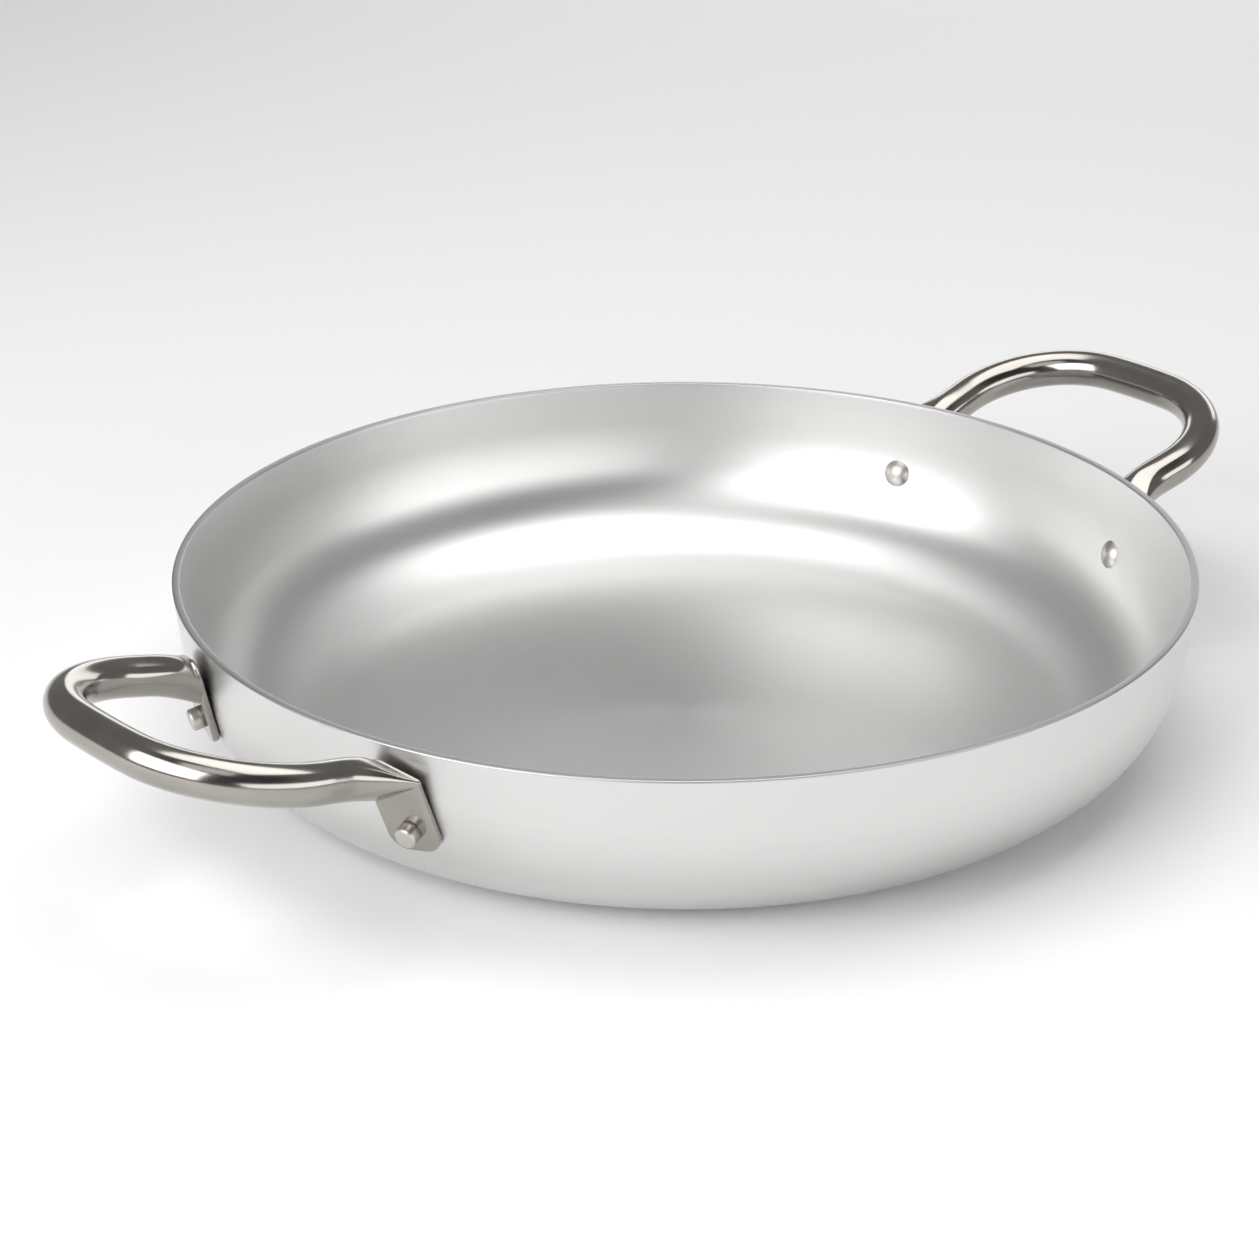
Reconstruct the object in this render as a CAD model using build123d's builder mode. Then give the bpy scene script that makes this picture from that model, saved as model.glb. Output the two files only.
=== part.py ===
from build123d import *
from math import acos, asin, atan2, cos, degrees, radians, sin, tan
import os

# A shallow braiser with two loop handles. The pan is spun from one aluminium blank, each
# handle is one steel tube with its ends pressed flat, folded down and riveted to the wall.
# Millimetres, +Z up. The origin is the centre of the base, on the surface that the pan
# stands on. The handles lie along X.

# Pan
rim_diameter = 320.0
pan_height = 56.6
sheet_thickness = 2.5
wall_draft = 6.6              # degrees from vertical at the rim
rim_straight = 14.2           # straight band under the rim
knuckle_slope = 17.0          # degrees from vertical where the tight corner begins
corner_radius = 38.3          # outside, between wall and base
rim_edge_round = 0.5

# Rivets
rivet_pitch = 100.5           # between the two rivets of a handle, measured across
rivet_drop = 25.8             # below the rim
shank_diameter = 5.0
head_diameter = 9.5           # dome inside the pan
head_height = 2.0
tail_diameter = 6.9           # set end, outside
tail_height = 4.0
tail_round = 1.0

# Handle tube and its loop
tube_diameter = 12.5
tube_wall = 1.2
handle_reach = 55.5           # from the rim to the middle of the grip
grip_rise = 5.4               # middle of the grip above the rim
grip_length = 26.0            # shallow bow between the two bends
grip_bow_radius = 200.0
bend_radius = 36.5

# Pressed end of the tube
tab_width = 17.8
tube_lead = 1.2               # the round tube stands proud of the tab's inner edge
tab_splay = 9.0               # degrees, the tab leans out from the line down the wall
tab_tip = 7.2                 # tab's end below the rivet
tab_corner_radius = 6.0
tab_edge_round = 0.9
seam_inset = 0.4              # the flat plate's top lies this far inside the fold
foot_height = 18.3            # middle of the tube above the rivet, where it meets the tab
heel_radius = 5.5             # inner side of the fold, where the tube is still round
toe_radius = 1.5              # inner end of the crease under the fold
toe_height = 11.0             # toe above the rivet
fold_height = 17.0            # outer end of the fold above the rivet
fold_round = 1.4              # the fold's edge is drawn down over this depth
taper_share = 0.76            # the straight leg is pressed over this share of its length
tube_spread_share = 0.01      # the tube is a hair out of round, towards its pressed end
taper_shares = (0, 0.25, 0.5, 0.75)

rim_radius = rim_diameter / 2
tube_radius = tube_diameter / 2
tab_thickness = 2 * tube_wall


# Wall of the pan: a straight band under the rim, a gentle bow, the corner and the base.
# Angles are slopes from vertical, and every arc is tangent to the next.
draft = radians(wall_draft)
knuckle = radians(knuckle_slope)
bow_drop = pan_height - rim_straight * cos(draft) - corner_radius * (1 - sin(knuckle))
bow_radius = bow_drop / (sin(knuckle) - sin(draft))
bow_inset = bow_radius * (cos(draft) - cos(knuckle))
base_radius = rim_radius - rim_straight * sin(draft) - bow_inset - corner_radius * cos(knuckle)
corner_center = Vector(base_radius, corner_radius)
bow_center = corner_center - Vector(cos(knuckle), -sin(knuckle)) * (bow_radius - corner_radius)


def wall_at(height):
    """Outside radius and slope of the wall at a height above the base."""
    if height > bow_center.Y - bow_radius * sin(draft):
        return rim_radius - (pan_height - height) * tan(draft), draft
    if height > bow_center.Y - bow_radius * sin(knuckle):
        slope = asin((bow_center.Y - height) / bow_radius)
        return bow_center.X + bow_radius * cos(slope), slope
    slope = asin((corner_center.Y - height) / corner_radius)
    return corner_center.X + corner_radius * cos(slope), slope


def wall_line(inset):
    """The wall's curve from the axis to the rim, moved inwards by the inset."""
    base = Line((0, inset), (base_radius, inset))
    corner = CenterArc(corner_center, corner_radius - inset, -90, 90 - knuckle_slope)
    bow = CenterArc(bow_center, bow_radius - inset, -knuckle_slope, knuckle_slope - wall_draft)
    top_radius = (bow @ 1).X + (pan_height - (bow @ 1).Y) * tan(draft)
    band = Line(bow @ 1, (top_radius, pan_height))
    return base, band


# Seat of a rivet on the wall, on the right and rear side. Its plane touches the wall, with x
# along the rim, y up the wall and z outwards.
rivet_height = pan_height - rivet_drop
wall_radius, wall_slope = wall_at(rivet_height)
rivet_angle = asin(rivet_pitch / 2 / wall_radius)
outward = Vector(cos(rivet_angle), sin(rivet_angle), 0)
along_rim = Vector(-sin(rivet_angle), cos(rivet_angle), 0)
seat = Plane(
    origin=outward * wall_radius + Vector(0, 0, rivet_height),
    x_dir=along_rim,
    z_dir=outward * cos(wall_slope) - Vector(0, 0, sin(wall_slope)),
)

# Plane of the tab: the seat, turned so that y runs up the tab's own middle line
rivet_axis = Axis(seat.origin, seat.z_dir)
tab_plane = Plane(
    origin=seat.origin, x_dir=seat.x_dir.rotate(rivet_axis, tab_splay), z_dir=seat.z_dir
)

# Where the leg's middle line meets that plane. The tube stands a little proud of the tab's
# inner edge.
inner_side = -tab_width / 2 - tube_lead
leg_foot = Vector(inner_side + tube_radius, foot_height)
leg_end = tab_plane.from_local_coords(leg_foot)

# Plane of the handle's loop, from the grip down to the two feet: x to the rear, y towards
# the pan.
grip_middle = Vector(rim_radius + handle_reach, 0, pan_height + grip_rise)
loop_slope = atan2(grip_middle.Z - leg_end.Z, grip_middle.X - leg_end.X)
loop = Plane(
    origin=grip_middle, x_dir=(0, 1, 0), z_dir=(-sin(loop_slope), 0, cos(loop_slope))
)
leg_end_local = loop.to_local_coords(leg_end)

# The bend's centre, and the point where the leg leaves it as a tangent.
bow_half_angle = asin(grip_length / 2 / grip_bow_radius)
center_offset = grip_bow_radius - bend_radius
bend_center = Vector(
    center_offset * sin(bow_half_angle), grip_bow_radius - center_offset * cos(bow_half_angle)
)
to_leg_end = Vector(leg_end_local.X, leg_end_local.Y) - bend_center
leave_angle = atan2(to_leg_end.Y, to_leg_end.X) - acos(bend_radius / to_leg_end.length)
leave_point = bend_center + Vector(cos(leave_angle), sin(leave_angle)) * bend_radius
straight_leg = leg_end - loop.from_local_coords(leave_point)
taper = straight_leg * taper_share
taper_start = leg_end - taper

# Circles that the pressed end is stretched round, in the plane of the tab: heel, toe and
# outer end of the fold, and one of the two round corners at the tab's end.
edge_radius = tab_thickness / 2
fold_circles = (
    (Vector(inner_side + heel_radius, foot_height), heel_radius),
    (Vector(toe_radius - tab_width / 2, toe_height), toe_radius),
    (Vector(tab_width / 2 - edge_radius, fold_height), edge_radius),
)
corner = Vector(tab_width / 2 - tab_corner_radius, tab_corner_radius - tab_tip)


def draw_pressed_circles(spread_share, middle=Vector(0, 0), inset=0):
    """Circles of a section, about the tube's middle: 0 spread at the tube, 1 at the fold."""
    for center, radius in fold_circles:
        with Locations(middle + (center - leg_foot) * spread_share):
            Circle(tube_radius + (radius - tube_radius) * spread_share - inset)


def taper_plane(travel_share):
    """Plane of a section of the taper: 0 square to the tube, 1 in the plane of the tab."""
    lean_share = travel_share ** 2
    return Plane(
        origin=taper_start + taper * travel_share,
        x_dir=tab_plane.x_dir,
        z_dir=tab_plane.z_dir * lean_share - taper.normalized() * (1 - lean_share),
    )


def draw_tube_line(leg_stop):
    """Half of the loop's middle line: grip, bend, and the leg up to the stop."""
    start_angle = degrees(bow_half_angle) - 90
    CenterArc((0, grip_bow_radius), grip_bow_radius, -90, degrees(bow_half_angle))
    bend = CenterArc(
        (bend_center.X, bend_center.Y), bend_radius, start_angle, degrees(leave_angle) - start_angle
    )
    Line(bend @ 1, leg_stop)


with BuildPart() as pan_body:
    with BuildSketch(Plane.XZ):
        with BuildLine():
            outer_base, outer_band = wall_line(0)
            inner_base, inner_band = wall_line(sheet_thickness)
            Line(outer_band @ 1, inner_band @ 1)
            Line(outer_base @ 0, inner_base @ 0)
        make_face()
    revolve(axis=Axis.Z)
    fillet(pan_body.edges().group_by(Axis.Z)[-1], radius=rim_edge_round)

# Each hole runs from inside the pan to the wall's outside.
hole_depth = head_height + sheet_thickness + tab_thickness
with BuildPart() as rivet_holes:
    with BuildSketch(seat.offset(tab_thickness)):
        Circle(shank_diameter / 2)
    extrude(amount=-hole_depth)
    mirror(about=Plane.XZ)
    mirror(about=Plane.YZ)
with pan_body:
    add(rivet_holes.part, mode=Mode.SUBTRACT)

# Tab: the pressed tube, as wide as the flattened tube, with a round end
with BuildPart() as tab:
    with BuildSketch(tab_plane):
        draw_pressed_circles(1, leg_foot - Vector(0, fold_round / 2), seam_inset)
        with Locations(corner, (-corner.X, corner.Y)):
            Circle(tab_corner_radius)
        make_hull()
    extrude(amount=tab_thickness)
    fillet(tab.edges(), radius=tab_edge_round)

with BuildPart() as handle_right:
    # Round tube: half of the grip, the bend and the straight leg
    with BuildLine(loop) as tube_line:
        draw_tube_line(taper_start)
    with BuildSketch(taper_plane(0)):
        draw_pressed_circles(tube_spread_share)
        make_hull()
    sweep(path=tube_line.wires()[0])
    # Taper from the round tube to the crest of the fold
    for travel_share in taper_shares:
        with BuildSketch(taper_plane(travel_share)):
            draw_pressed_circles(tube_spread_share + (1 - tube_spread_share) * travel_share ** 2)
            make_hull()
    with BuildSketch(tab_plane.offset(fold_round)):
        draw_pressed_circles(1, leg_foot)
        make_hull()
    loft()
    # From the crest, the fold is drawn in a little on its way to the wall
    for depth, drop in ((fold_round, 0), (0, fold_round / 2)):
        with BuildSketch(tab_plane.offset(depth)):
            draw_pressed_circles(1, leg_foot - Vector(0, drop))
            make_hull()
    loft()
    add(tab.part)
    # Bore of the tube, closed where the pressing begins
    with BuildSketch(taper_plane(0)):
        Circle(tube_radius - tube_wall)
    sweep(path=tube_line.wires()[0], mode=Mode.SUBTRACT)
    mirror(about=Plane.XZ)
    add(rivet_holes.part, mode=Mode.SUBTRACT)

with BuildPart() as handle_left:
    mirror(handle_right.part, about=Plane.YZ)

# Solid rivet: a low dome inside the pan, a straight shank and a set head on the tab. The
# dome's underside is cut to the wall's curve.
with BuildPart() as rivet_right_rear:
    with BuildSketch(Plane(origin=seat.origin, x_dir=seat.x_dir, z_dir=-seat.y_dir)):
        with BuildLine():
            dome_rim = (head_diameter / 2, -sheet_thickness)
            dome_top = (0, -sheet_thickness - head_height)
            Polyline(
                dome_rim,
                (shank_diameter / 2, -sheet_thickness),
                (shank_diameter / 2, tab_thickness),
                (tail_diameter / 2, tab_thickness),
                (tail_diameter / 2, tab_thickness + tail_height),
                (0, tab_thickness + tail_height),
                dome_top,
            )
            TangentArc(dome_top, dome_rim, tangent=(1, 0))
        make_face()
    revolve(axis=rivet_axis)
    tail_edge = rivet_right_rear.edges().filter_by(GeomType.CIRCLE).sort_by(rivet_axis)[-1]
    fillet(tail_edge, radius=tail_round)
    add(pan_body.part, mode=Mode.SUBTRACT)

with BuildPart() as rivet_right_front:
    mirror(rivet_right_rear.part, about=Plane.XZ)

with BuildPart() as rivet_left_rear:
    mirror(rivet_right_rear.part, about=Plane.YZ)

with BuildPart() as rivet_left_front:
    mirror(rivet_right_front.part, about=Plane.YZ)

pieces = {
    "pan_body": pan_body,
    "handle_right": handle_right,
    "handle_left": handle_left,
    "rivet_right_rear": rivet_right_rear,
    "rivet_right_front": rivet_right_front,
    "rivet_left_rear": rivet_left_rear,
    "rivet_left_front": rivet_left_front,
}
os.makedirs("parts", exist_ok=True)
for name, piece in pieces.items():
    piece.part.label = name
    export_step(piece.part, f"parts/{name}.step")
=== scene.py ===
from math import acos, asin, atan2, cos, pi, radians, sin, tan

import bpy
import numpy as np
from mathutils import Matrix, Vector


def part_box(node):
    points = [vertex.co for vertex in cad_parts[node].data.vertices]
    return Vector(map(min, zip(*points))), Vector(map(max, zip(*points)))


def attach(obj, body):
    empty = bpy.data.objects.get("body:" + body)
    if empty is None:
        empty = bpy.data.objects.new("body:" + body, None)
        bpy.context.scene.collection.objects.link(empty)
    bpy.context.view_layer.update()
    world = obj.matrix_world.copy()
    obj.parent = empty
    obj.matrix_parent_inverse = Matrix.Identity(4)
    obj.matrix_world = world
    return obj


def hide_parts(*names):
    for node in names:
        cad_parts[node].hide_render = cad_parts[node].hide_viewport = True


# A braiser: a shallow spun aluminium pan with two riveted loop handles of polished steel
# tube. A finer surface of the same form stands for every piece of the frame. Metres.
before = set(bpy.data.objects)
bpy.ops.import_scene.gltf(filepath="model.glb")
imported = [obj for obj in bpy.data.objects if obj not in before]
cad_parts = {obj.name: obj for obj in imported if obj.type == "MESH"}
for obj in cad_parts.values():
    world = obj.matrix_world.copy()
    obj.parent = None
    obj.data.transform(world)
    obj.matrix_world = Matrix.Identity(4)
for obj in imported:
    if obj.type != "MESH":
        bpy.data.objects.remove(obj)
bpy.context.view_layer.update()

# Pan, which stands on the floor, so that the top of its box is its height
pan_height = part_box("pan_body")[1].z
rim_radius = 0.160
sheet_thickness = 0.0025
wall_draft = radians(6.6)
rim_straight = 0.0142
knuckle_slope = radians(17.0)
corner_radius = 0.0383
rim_edge_round = 0.0005

# Rivets
rivet_pitch = 0.1005
rivet_drop = 0.0258
shank_radius = 0.0025
head_radius = 0.00475
head_height = 0.002
tail_radius = 0.00345
tail_height = 0.004
tail_round = 0.0011
tail_crown = 0.0002

# Handle tube and its loop. The tube's radius is a hair under the true 6.25 mm, to stay
# inside the frame's faceted tube.
tube_radius = 0.006235
tube_wall = 0.0012
handle_reach = 0.0555
grip_rise = 0.0054
grip_length = 0.026
grip_bow_radius = 0.2
bend_radius = 0.0365
tube_lead = 0.0012

# Pressed ends: the flat tab, and the fold that leads into it from the tube
tab_width = 0.0178
tab_splay = radians(9.0)
tab_tip = 0.0072
tab_corner_radius = 0.006
tab_least_corner = 0.0001
tab_edge_round = 0.0009
tab_thickness = 2 * tube_wall
seam_inset = 0.0004
foot_height = 0.0183
heel_radius = 0.0055
toe_radius = 0.0015
toe_height = 0.011
fold_height = 0.017
fold_depth = 0.0014
fold_round = 0.0009
taper_share = 0.76

# Fineness of the meshes: how many points go round a piece
pan_segments = 512
tube_segments = 96
tab_segments = 192
rivet_segments = 64

# and how many points go along each curve
base_points = 12
corner_points = 44
wall_bow_points = 14
rim_round_points = 6
grip_points = 24
bend_points = 110
leg_points = 120
taper_points = 60
fold_round_points = 8
tab_round_points = 7
dome_points = 16
tail_round_points = 9

# Where the rings lie that no curve gives: the innermost ring of the base as a share of its
# radius, the rings of the straight band as shares of it counted down from the rim, the rings
# of the tab's faces as shares of its outline, and the dome's innermost ring as an angle
base_start = 0.1
band_shares = np.array([0.75, 0.5, 0.25, 0.1])
face_shares = (0.8, 0.5, 0.2)
dome_start = 0.05

# Colours: the darker and the lighter end of each metal, and the painted shade on the rim's top edge
aluminium_dark = (0.69, 0.691, 0.692)
aluminium_light = (0.77, 0.765, 0.753)
# Painted shade: the rim's top edge is painted darker, down to a depth from the top, blended in over
# a height
rim_painted_shade_colour = (0.5, 0.5, 0.51)
rim_painted_shade_depth = 0.0007
rim_painted_shade_blend = 0.0003
steel_dark = (0.33, 0.312, 0.288)
steel_light = (0.43, 0.407, 0.375)
rivet_dark = (0.52, 0.50, 0.465)
rivet_light = (0.64, 0.62, 0.59)

# The photograph's view: the camera looks at the middle of the rim, a little off its own axis
picture_pixels = 1259.0
focal_pixels = 3518.372
rim_pixel = (684.389, 555.137)
view_distance = 1.105
view_elevation = radians(22.723)
view_azimuth = radians(-42.192)
view_roll = radians(-0.059)
sensor_width = 36.0

# The studio: a floor, pale walls, and a dark opening that blends into them between two angles
# from its middle
floor_half = 6.0
floor_colour = (0.9, 0.9, 0.9, 1.0)
wall_shade = 0.24
opening_shade = 0.05
opening_azimuth = radians(-36.0)
opening_elevation = radians(50.0)
opening_inner_angle = radians(30.0)
opening_outer_angle = radians(62.0)

# Softboxes: name, azimuth and elevation in degrees, distance, size, power in watts
softboxes = (
    ("left_softbox", -90, 28, 1.25, (1.2, 0.95), 13.5),
    ("top_softbox", 105, 78, 1.35, (1.3, 1.1), 11.0),
    ("front_softbox", 6, 14, 1.3, (2.1, 0.45), 6.4),
    ("upper_softbox", -60, 60, 1.3, (0.7, 0.5), 1.1),
    ("rear_softbox", 124, 12, 1.5, (1.6, 0.4), 3.6),
)


def whole_turn(count):
    """Angles in radians, spread evenly round a whole turn."""
    return np.arange(count) * 2 * pi / count


def spokes(angles, x_axis=(1.0, 0.0), y_axis=(0.0, 1.0)):
    """Unit vectors at angles counted from one axis towards the other."""
    return np.cos(angles)[:, None] * x_axis + np.sin(angles)[:, None] * y_axis


def arc(center, radius, start, stop, count):
    """Points of a circular arc in a plane, angles in radians, both ends included."""
    return np.asarray(center) + radius * spokes(np.linspace(start, stop, count))


def unit(vector):
    """A vector divided by its length."""
    return np.asarray(vector) / np.linalg.norm(vector)


def square_to(way, vector):
    """The direction of the part of a vector that is square to a unit vector."""
    return unit(vector - way * (vector @ way))


def add_object(name, data):
    """A new object in the scene, at the origin until it is moved."""
    thing = bpy.data.objects.new(name, data)
    bpy.context.scene.collection.objects.link(thing)
    return thing


def make_piece(name, rings, nodes, material, poles=None):
    """A closed surface from rings of points, shape (rings, points around, 3). Quads join each
    ring to the next, and a fan of triangles round a pole closes either end. The poles are the
    end rings' middles unless they are given."""
    ring_count, around = rings.shape[:2]
    if poles is None:
        poles = (rings[0].mean(axis=0), rings[-1].mean(axis=0))
    points = np.concatenate([rings.reshape(-1, 3), np.asarray(poles)])
    index = np.arange(ring_count * around).reshape(ring_count, around)
    beside = np.roll(index, -1, axis=1)
    quads = np.stack([index[:-1], beside[:-1], beside[1:], index[1:]], axis=-1).reshape(-1, 4)
    first_pole = np.full(around, len(points) - 2)
    last_pole = np.full(around, len(points) - 1)
    fans = np.concatenate([
        np.stack([beside[0], index[0], first_pole], axis=-1),
        np.stack([index[-1], beside[-1], last_pole], axis=-1),
    ])
    mesh = bpy.data.meshes.new(name)
    mesh.vertices.add(len(points))
    mesh.vertices.foreach_set("co", points.astype(np.float32).ravel())
    corner_counts = np.concatenate([np.full(len(quads), 4), np.full(len(fans), 3)])
    mesh.loops.add(int(corner_counts.sum()))
    mesh.loops.foreach_set("vertex_index", np.concatenate([quads.ravel(), fans.ravel()]))
    mesh.polygons.add(len(corner_counts))
    starts = np.concatenate([[0], np.cumsum(corner_counts)[:-1]])
    mesh.polygons.foreach_set("loop_start", starts)
    mesh.update(calc_edges=True)
    mesh.validate()
    mesh.shade_smooth()
    mesh.materials.append(material)
    piece = add_object(name, mesh)
    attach(piece, "root")
    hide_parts(*nodes)


def mirrored(rings, x_side, y_side):
    """Rings mirrored to another side of the pan, still turning the way that points outwards."""
    turned = rings * np.array([x_side, y_side, 1.0])
    return turned[:, ::-1] if x_side * y_side < 0 else turned


# Wall of the pan, as radius and height: a straight band under the rim, a gentle bow, the
# corner and the base, each tangent to the next
bow_drop = (
    pan_height - rim_straight * cos(wall_draft) - corner_radius * (1 - sin(knuckle_slope))
)
bow_radius = bow_drop / (sin(knuckle_slope) - sin(wall_draft))
base_radius = (
    rim_radius - rim_straight * sin(wall_draft)
    - bow_radius * (cos(wall_draft) - cos(knuckle_slope)) - corner_radius * cos(knuckle_slope)
)
corner_center = np.array([base_radius, corner_radius])
knuckle_out = np.array([cos(knuckle_slope), -sin(knuckle_slope)])
bow_center = corner_center - knuckle_out * (bow_radius - corner_radius)


def band_radius(height, inset):
    """Radius of the straight band under the rim at a height, moved inwards by the inset."""
    return rim_radius - (pan_height - height) * tan(wall_draft) - inset / cos(wall_draft)


def wall_profile(inset):
    """The wall's curve from near the axis up to the straight band."""
    radii = np.linspace(base_start, 1, base_points, endpoint=False) * base_radius
    base = np.stack([radii, np.full_like(radii, inset)], axis=-1)
    corner = arc(corner_center, corner_radius - inset, -pi / 2, -knuckle_slope, corner_points)
    bow = arc(bow_center, bow_radius - inset, -knuckle_slope, -wall_draft, wall_bow_points)[1:]
    return np.concatenate([base, corner, bow])


def pan_rings():
    """The pan's profile, outside then inside, carried round the axis."""
    edge_height = pan_height - rim_edge_round
    edge_inset = rim_edge_round / cos(wall_draft)
    outer_edge = (band_radius(edge_height, 0) - edge_inset, edge_height)
    inner_edge = (band_radius(edge_height, sheet_thickness) + edge_inset, edge_height)
    band_heights = pan_height - rim_straight * band_shares
    outer_band = np.stack([band_radius(band_heights, 0), band_heights], axis=-1)
    inner_band = np.stack([band_radius(band_heights, sheet_thickness), band_heights], axis=-1)
    profile = np.concatenate([
        wall_profile(0),
        outer_band,
        arc(outer_edge, rim_edge_round, -wall_draft, pi / 2, rim_round_points),
        arc(inner_edge, rim_edge_round, pi / 2, pi - wall_draft, rim_round_points),
        inner_band[::-1],
        wall_profile(sheet_thickness)[::-1],
    ])
    turn = whole_turn(pan_segments)
    radius, height = profile[:, :1], profile[:, 1:]
    return np.stack([radius * np.cos(turn), radius * np.sin(turn), height + 0 * turn], axis=-1)


# Seat of the rivet on the right and rear side: its plane touches the wall, seat_side runs
# along the rim towards the rear, seat_up up the wall and seat_out outwards
rivet_height = pan_height - rivet_drop
wall_slope = asin((bow_center[1] - rivet_height) / bow_radius)
wall_radius = bow_center[0] + bow_radius * cos(wall_slope)
rivet_angle = asin(rivet_pitch / 2 / wall_radius)
outward = np.array([cos(rivet_angle), sin(rivet_angle), 0.0])
up = np.array([0.0, 0.0, 1.0])
seat_origin = outward * wall_radius + up * rivet_height
seat_out = outward * cos(wall_slope) - up * sin(wall_slope)
seat_side = np.array([-sin(rivet_angle), cos(rivet_angle), 0.0])
seat_up = np.cross(seat_out, seat_side)

# Axes of the tab, turned on the rivet so that tab_up runs along its own middle line
tab_side = seat_side * cos(tab_splay) + seat_up * sin(tab_splay)
tab_up = np.cross(seat_out, tab_side)


def on_tab(points, depth=0.0):
    """Points given along the tab's own side and up axes, brought into place."""
    points = np.asarray(points)
    return seat_origin + points[..., :1] * tab_side + points[..., 1:] * tab_up + depth * seat_out


# Plane of the handle's loop, from the middle of the grip down to the tube's two feet
inner_side = -tab_width / 2 - tube_lead
leg_foot = np.array([inner_side + tube_radius, foot_height])
leg_end = on_tab(leg_foot)
grip_middle = np.array([rim_radius + handle_reach, 0.0, pan_height + grip_rise])
loop_slope = atan2(grip_middle[2] - leg_end[2], grip_middle[0] - leg_end[0])
loop_rear = np.array([0.0, 1.0, 0.0])
loop_normal = np.array([-sin(loop_slope), 0.0, cos(loop_slope)])
loop_inward = np.cross(loop_normal, loop_rear)

# The bend's centre in that plane, and the angle where the leg leaves it as a tangent
bow_half_angle = asin(grip_length / 2 / grip_bow_radius)
center_offset = grip_bow_radius - bend_radius
bend_center = np.array([
    center_offset * sin(bow_half_angle), grip_bow_radius - center_offset * cos(bow_half_angle)
])
to_foot = leg_end - grip_middle
leg_end_flat = np.array([to_foot @ loop_rear, to_foot @ loop_inward])
to_leg_end = leg_end_flat - bend_center
leave_angle = atan2(to_leg_end[1], to_leg_end[0]) - acos(bend_radius / np.linalg.norm(to_leg_end))

# Circles whose belt is the outline of the fold, and the tab's two further corners
fold_centers = np.array([
    (inner_side + heel_radius, foot_height),
    (toe_radius - tab_width / 2, toe_height),
    (tab_width / 2 - tab_thickness / 2, fold_height),
])
fold_radii = np.array([heel_radius, toe_radius, tab_thickness / 2])
tab_corners = np.array([
    (tab_width / 2 - tab_corner_radius, tab_corner_radius - tab_tip),
    (tab_corner_radius - tab_width / 2, tab_corner_radius - tab_tip),
])


def hull(centers, radii, angles):
    """Points of the belt stretched round some circles, one for each direction: the point of
    the circle that reaches furthest that way."""
    directions = spokes(angles)
    furthest = (directions @ centers.T + radii).argmax(axis=1)
    return centers[furthest] + radii[furthest, None] * directions


def tube_line():
    """Half of the loop's middle line in its plane, as far as the taper: grip, bend, leg."""
    bend_start = bow_half_angle - pi / 2
    grip = arc((0, grip_bow_radius), grip_bow_radius, -pi / 2, bend_start, grip_points)
    bend = arc(bend_center, bend_radius, bend_start, leave_angle, bend_points)[1:]
    leg = np.linspace(bend[-1], leg_end_flat, leg_points)[1:]
    leg = leg[: round(len(leg) * (1 - taper_share))]
    return np.concatenate([grip, bend, leg])


def handle_rings():
    """The tube's round section along the loop, then the taper, where the section spreads from
    a circle to the fold's teardrop and leans over into the plane of the tab, then the fold's
    rounded edge down to the wall. The half on the rear side is mirrored to the front."""
    line = tube_line()
    points = grip_middle + line[:, :1] * loop_rear + line[:, 1:] * loop_inward
    travel = np.gradient(points, axis=0)
    travel /= np.linalg.norm(travel, axis=1)[:, None]
    taper = leg_end - points[-1]
    taper_way = unit(taper)
    angles = whole_turn(tube_segments)

    # the round tube's section starts at the angle that lets it meet the taper's
    start_x = square_to(taper_way, tab_side)
    circle = spokes(angles, start_x, np.cross(-taper_way, start_x))
    across_share = (circle @ np.cross(loop_normal, taper_way))[:, None]
    normal_part = (circle @ loop_normal)[:, None] * loop_normal
    across = np.cross(loop_normal, travel)[:, None]
    rings = list(points[:, None] + tube_radius * (across_share * across + normal_part))

    for share in np.linspace(0, 1, taper_points)[1:]:
        spread = share ** 2
        way = unit(seat_out * spread - taper_way * (1 - spread))
        x_axis = square_to(way, tab_side)
        y_axis = np.cross(way, x_axis)
        middle = points[-1] + taper * share + seat_out * fold_depth * spread
        centers = (fold_centers - leg_foot) * spread
        radii = tube_radius + (fold_radii - tube_radius) * spread
        section = hull(centers, radii, angles)
        rings.append(middle + section[:, :1] * x_axis + section[:, 1:] * y_axis)
    for angle in np.linspace(0, pi / 2, fold_round_points)[1:]:
        section = hull(fold_centers, fold_radii - fold_round * (1 - cos(angle)), angles)
        rings.append(on_tab(section, fold_depth * (1 - sin(angle))))

    rings = np.array(rings)[:, ::-1]
    front_half = rings * np.array([1.0, -1.0, 1.0])
    return np.concatenate([front_half[:0:-1], rings])


def tab_rings():
    """The pressed plate: its outline, drawn in at the edges by a round, from the wall up to
    its face, and shrunk to the middle on both faces. No corner is drawn in past its least
    radius, so that the outline never folds over itself."""
    centers = np.concatenate([fold_centers, tab_corners])
    corner_radii = np.full(len(tab_corners), tab_corner_radius)
    radii = np.concatenate([fold_radii - seam_inset, corner_radii])
    angles = whole_turn(tab_segments)

    def outline(inset):
        return hull(centers, np.maximum(radii - inset, tab_least_corner), angles)

    round_angles = np.linspace(0, pi / 2, tab_round_points)
    edge = [(tab_edge_round * (1 - sin(a)), tab_edge_round * (1 - cos(a))) for a in round_angles]
    edge += [(inset, tab_thickness - depth) for inset, depth in edge[::-1]]
    rings = [on_tab(outline(inset), depth) for inset, depth in edge]
    middle = np.array([0.0, foot_height / 2])
    flat = outline(tab_edge_round)
    for share in face_shares:
        face = middle + (flat - middle) * share
        rings.append(on_tab(face, tab_thickness))
        rings.insert(0, on_tab(face, 0.0))
    return np.array(rings)


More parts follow.
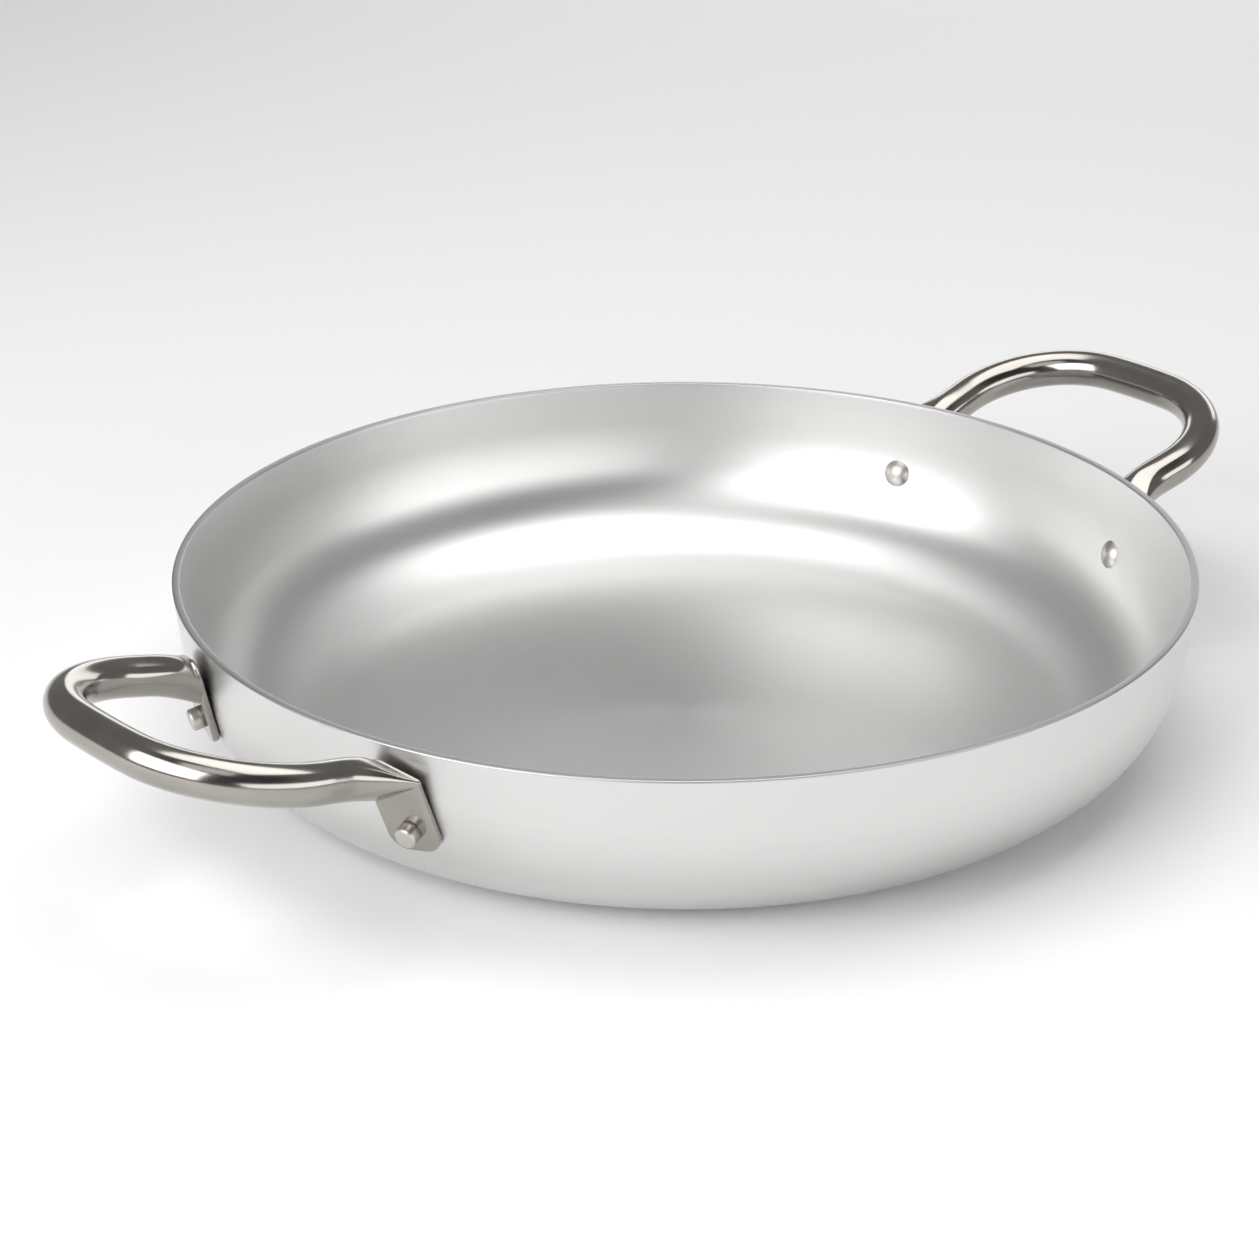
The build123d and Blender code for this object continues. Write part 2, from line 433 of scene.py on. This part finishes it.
def rivet_rings():
    """The rivet's profile, as radius and depth along its axis from the wall's outside, carried
    round the axis: a low dome inside the pan, the shank, and the set head on the tab."""
    dome_radius = (head_radius ** 2 + head_height ** 2) / (2 * head_height)
    dome_half = asin(head_radius / dome_radius)
    dome_center = (0, dome_radius - head_height - sheet_thickness)
    tail_top = tab_thickness + tail_height
    shoulder = (tail_radius - tail_round, tail_top - tail_crown - tail_round)
    profile = np.concatenate([
        arc(dome_center, dome_radius, dome_start - pi / 2, dome_half - pi / 2, dome_points),
        [(shank_radius, -sheet_thickness), (shank_radius, tab_thickness)],
        [(tail_radius, tab_thickness), (tail_radius, tab_thickness + tail_height / 4)],
        arc(shoulder, tail_round, 0, pi / 2, tail_round_points),
        [(shoulder[0] / 2, tail_top - tail_crown / 4)],
    ])
    radius, depth = profile[:, :1, None], profile[:, 1:, None]
    round_axis = spokes(whole_turn(rivet_segments), seat_side, seat_up)
    return seat_origin + radius * round_axis + depth * seat_out


def both_ways(operation):
    """An operator's two methods: with the link before the sign, and with it after."""

    def link_first(self, other):
        return self.tree.add("ShaderNodeMath", {"operation": operation}, {0: self, 1: other})

    def link_last(self, other):
        return self.tree.add("ShaderNodeMath", {"operation": operation}, {0: other, 1: self})

    return link_first, link_last


class Link:
    """A socket of a shader's nodes, on which Python's arithmetic adds Math nodes."""

    __add__, __radd__ = both_ways("ADD")
    __sub__, __rsub__ = both_ways("SUBTRACT")
    __mul__, __rmul__ = both_ways("MULTIPLY")
    __truediv__, __rtruediv__ = both_ways("DIVIDE")
    __pow__, __rpow__ = both_ways("POWER")

    def __init__(self, tree, socket):
        self.tree = tree
        self.socket = socket


class Nodes:
    """The shader nodes of a material or a world, with one method that adds any of them."""

    def __init__(self, owner):
        owner.use_nodes = True
        self.nodes = owner.node_tree.nodes
        self.links = owner.node_tree.links

    def add(self, kind, settings=None, values=None, output=0):
        """A new node, with its settings and its inputs, which are numbers or links."""
        node = self.nodes.new(kind)
        for setting, value in (settings or {}).items():
            setattr(node, setting, value)
        for socket, value in (values or {}).items():
            self.feed(node.inputs[socket], value)
        return Link(self, node.outputs[output])

    def feed(self, socket, value):
        """A link is joined to the socket, and any other value is set on it."""
        if isinstance(value, Link):
            self.links.new(value.socket, socket)
        else:
            socket.default_value = value


class Finish(Nodes):
    """A material with a Principled shader, some of whose inputs are the same all over."""

    def __init__(self, name, **constants):
        self.material = bpy.data.materials.new(name)
        super().__init__(self.material)
        self.shader = self.nodes["Principled BSDF"]
        self.drive(**constants)

    def drive(self, **sockets):
        """The shader's own inputs, named with an underscore for each space."""
        for socket, value in sockets.items():
            self.feed(self.shader.inputs[socket.replace("_", " ")], value)

    def place(self):
        return self.add("ShaderNodeTexCoord", output="Object")

    def axes(self, vector):
        """The three parts of a vector, each as a link."""
        node = self.add("ShaderNodeSeparateXYZ", values={"Vector": vector}).socket.node
        return [Link(self, output) for output in node.outputs]

    def noise(self, vector, scale, detail=2.0, roughness=0.5):
        values = {"Vector": vector, "Scale": scale, "Detail": detail, "Roughness": roughness}
        return self.add("ShaderNodeTexNoise", values=values)

    def between(self, factor, low, high):
        """A colour between two, by a factor. Each is three numbers or a link. The node's
        sockets go by number, because it repeats their names for other kinds of value."""
        low, high = (end if isinstance(end, Link) else (*end, 1.0) for end in (low, high))
        values = {0: factor, 6: low, 7: high}
        return self.add("ShaderNodeMix", {"data_type": "RGBA"}, values, output=2)

    def bump(self, height, strength, distance):
        values = {"Height": height, "Strength": strength, "Distance": distance}
        return self.add("ShaderNodeBump", values=values)


def spun_aluminium():
    """Satin aluminium: fine turning marks run round the axis, with faint broader bands, since
    both follow radius and height alone. The rim's top edge is painted darker, as painted shade."""
    finish = Finish("spun_aluminium", Metallic=1.0, Anisotropic=0.15)
    place = finish.place()
    x, y, z = finish.axes(place)
    radius = (x * x + y * y) ** 0.5
    profile = finish.add("ShaderNodeCombineXYZ", values={"X": radius, "Z": z})
    marks = finish.noise(profile, scale=2600.0, detail=3.0, roughness=0.7)
    bands = finish.noise(profile, scale=260.0)
    clouds = finish.noise(place, scale=18.0, detail=3.0)
    shade = marks * 0.35 + bands * 0.35 + clouds * 0.3
    # Painted shade: the rim's top edge is painted darker
    into_rim_painted_shade = (z - (pan_height - rim_painted_shade_depth)) / rim_painted_shade_blend
    rim_painted_shade = finish.add("ShaderNodeClamp", values={"Value": into_rim_painted_shade})
    sheet = finish.between(shade, aluminium_dark, aluminium_light)
    finish.drive(
        Base_Color=finish.between(rim_painted_shade, sheet, rim_painted_shade_colour),
        Roughness=0.34 + shade * 0.08,
        Normal=finish.bump(marks * 0.6 + bands * 0.4, strength=0.15, distance=0.00002),
    )
    return finish.material


def polished_steel():
    """Bright tube with a fine grain that breaks up the edges of its reflections."""
    finish = Finish("polished_steel", Metallic=1.0)
    place = finish.place()
    grain = finish.noise(place, scale=1600.0)
    wear = finish.noise(place, scale=60.0, detail=3.0)
    finish.drive(
        Base_Color=finish.between(wear, steel_dark, steel_light),
        Roughness=0.1 + wear * 0.12,
        Normal=finish.bump(grain, strength=0.06, distance=0.00005),
    )
    return finish.material


def rivet_metal():
    """Dull soft metal, faintly marked by the setting tool."""
    finish = Finish("rivet_metal", Metallic=1.0)
    grain = finish.noise(finish.place(), scale=900.0, detail=3.0)
    finish.drive(
        Base_Color=finish.between(grain, rivet_dark, rivet_light),
        Roughness=0.34 + grain * 0.12,
        Normal=finish.bump(grain, strength=0.2, distance=0.0001),
    )
    return finish.material


def add_floor():
    """A pale floor that fills the view."""
    mesh = bpy.data.meshes.new("floor")
    corners = [(x * floor_half, y * floor_half, 0) for x, y in ((-1, -1), (1, -1), (1, 1), (-1, 1))]
    mesh.from_pydata(corners, [], [(0, 1, 2, 3)])
    mesh.materials.append(Finish("pale_floor", Base_Color=floor_colour, Roughness=0.9).material)
    floor = add_object("floor", mesh)


def direction(azimuth, elevation):
    """A unit vector. The azimuth is counted from the front towards the right, and the
    elevation from the floor."""
    return Vector((sin(azimuth) * cos(elevation), -cos(azimuth) * cos(elevation), sin(elevation)))


def add_softbox(name, azimuth, elevation, distance, size, power):
    """A rectangular studio light, turned to the pan, with its two angles in degrees."""
    target = Vector((0.0, 0.0, pan_height / 2))
    place = target + distance * direction(radians(azimuth), radians(elevation))
    light = bpy.data.lights.new(name, "AREA")
    light.shape = "RECTANGLE"
    light.size, light.size_y = size
    light.energy = power
    lamp = add_object(name, light)
    lamp.location = place
    lamp.rotation_euler = (target - place).to_track_quat("-Z", "Y").to_euler()


def add_room():
    """The studio's pale walls, with a dark opening on the camera's side. The wall's shade goes
    by the angle between its direction and the middle of the opening."""
    world = bpy.data.worlds.new("studio")
    room = Nodes(world)
    toward = room.add("ShaderNodeTexCoord", output="Generated")
    middle = direction(opening_azimuth, opening_elevation)
    nearness = room.add(
        "ShaderNodeVectorMath", {"operation": "DOT_PRODUCT"}, {0: toward, 1: middle}, output="Value"
    )
    span = {
        "Value": nearness,
        "From Min": cos(opening_outer_angle),
        "From Max": cos(opening_inner_angle),
        "To Min": wall_shade,
        "To Max": opening_shade,
    }
    shade = room.add("ShaderNodeMapRange", {"interpolation_type": "SMOOTHSTEP"}, span, "Result")
    room.feed(room.nodes["Background"].inputs["Color"], shade)
    bpy.context.scene.world = world


def add_camera():
    """The camera stands on the line through the rim's middle at the measured angle, and is
    turned so that this middle lands on its measured pixel."""
    back = direction(view_azimuth, view_elevation)
    right = Vector((cos(view_azimuth), sin(view_azimuth), 0.0))
    axes = Matrix((right, back.cross(right), back))
    half = picture_pixels / 2
    aim = Vector(((rim_pixel[0] - half) / focal_pixels, (half - rim_pixel[1]) / focal_pixels, -1.0))
    swing = Vector((0.0, 0.0, -1.0)).rotation_difference(aim).to_matrix()
    to_camera = swing @ Matrix.Rotation(view_roll, 3, "Z") @ axes
    rim_middle = Vector((0.0, 0.0, pan_height))
    stand = Matrix.Translation(rim_middle + back * view_distance)
    data = bpy.data.cameras.new("camera")
    data.sensor_width = sensor_width
    data.lens = sensor_width * focal_pixels / picture_pixels
    camera = add_object("camera", data)
    camera.matrix_world = stand @ to_camera.transposed().to_4x4()
    bpy.context.scene.camera = camera


aluminium = spun_aluminium()
steel = polished_steel()
soft_metal = rivet_metal()

pan_poles = ((0, 0, 0), (0, 0, sheet_thickness))
make_piece("pan", pan_rings(), ["pan_body"], aluminium, poles=pan_poles)
tube, tab, rivet = handle_rings(), tab_rings(), rivet_rings()
for side, x_side in (("right", 1.0), ("left", -1.0)):
    handle = f"handle_{side}"
    make_piece(f"{handle}_tube", mirrored(tube, x_side, 1.0), [handle], steel)
    for end, y_side in (("rear", 1.0), ("front", -1.0)):
        make_piece(f"{handle}_tab_{end}", mirrored(tab, x_side, y_side), [handle], steel)
        rivet_node = f"rivet_{side}_{end}"
        rivet_here = mirrored(rivet, x_side, y_side)
        make_piece(f"{rivet_node}_metal", rivet_here, [rivet_node], soft_metal)

add_floor()
add_camera()
for softbox in softboxes:
    add_softbox(*softbox)
add_room()
bpy.context.scene.view_settings.view_transform = "Standard"

bpy.context.view_layer.update()
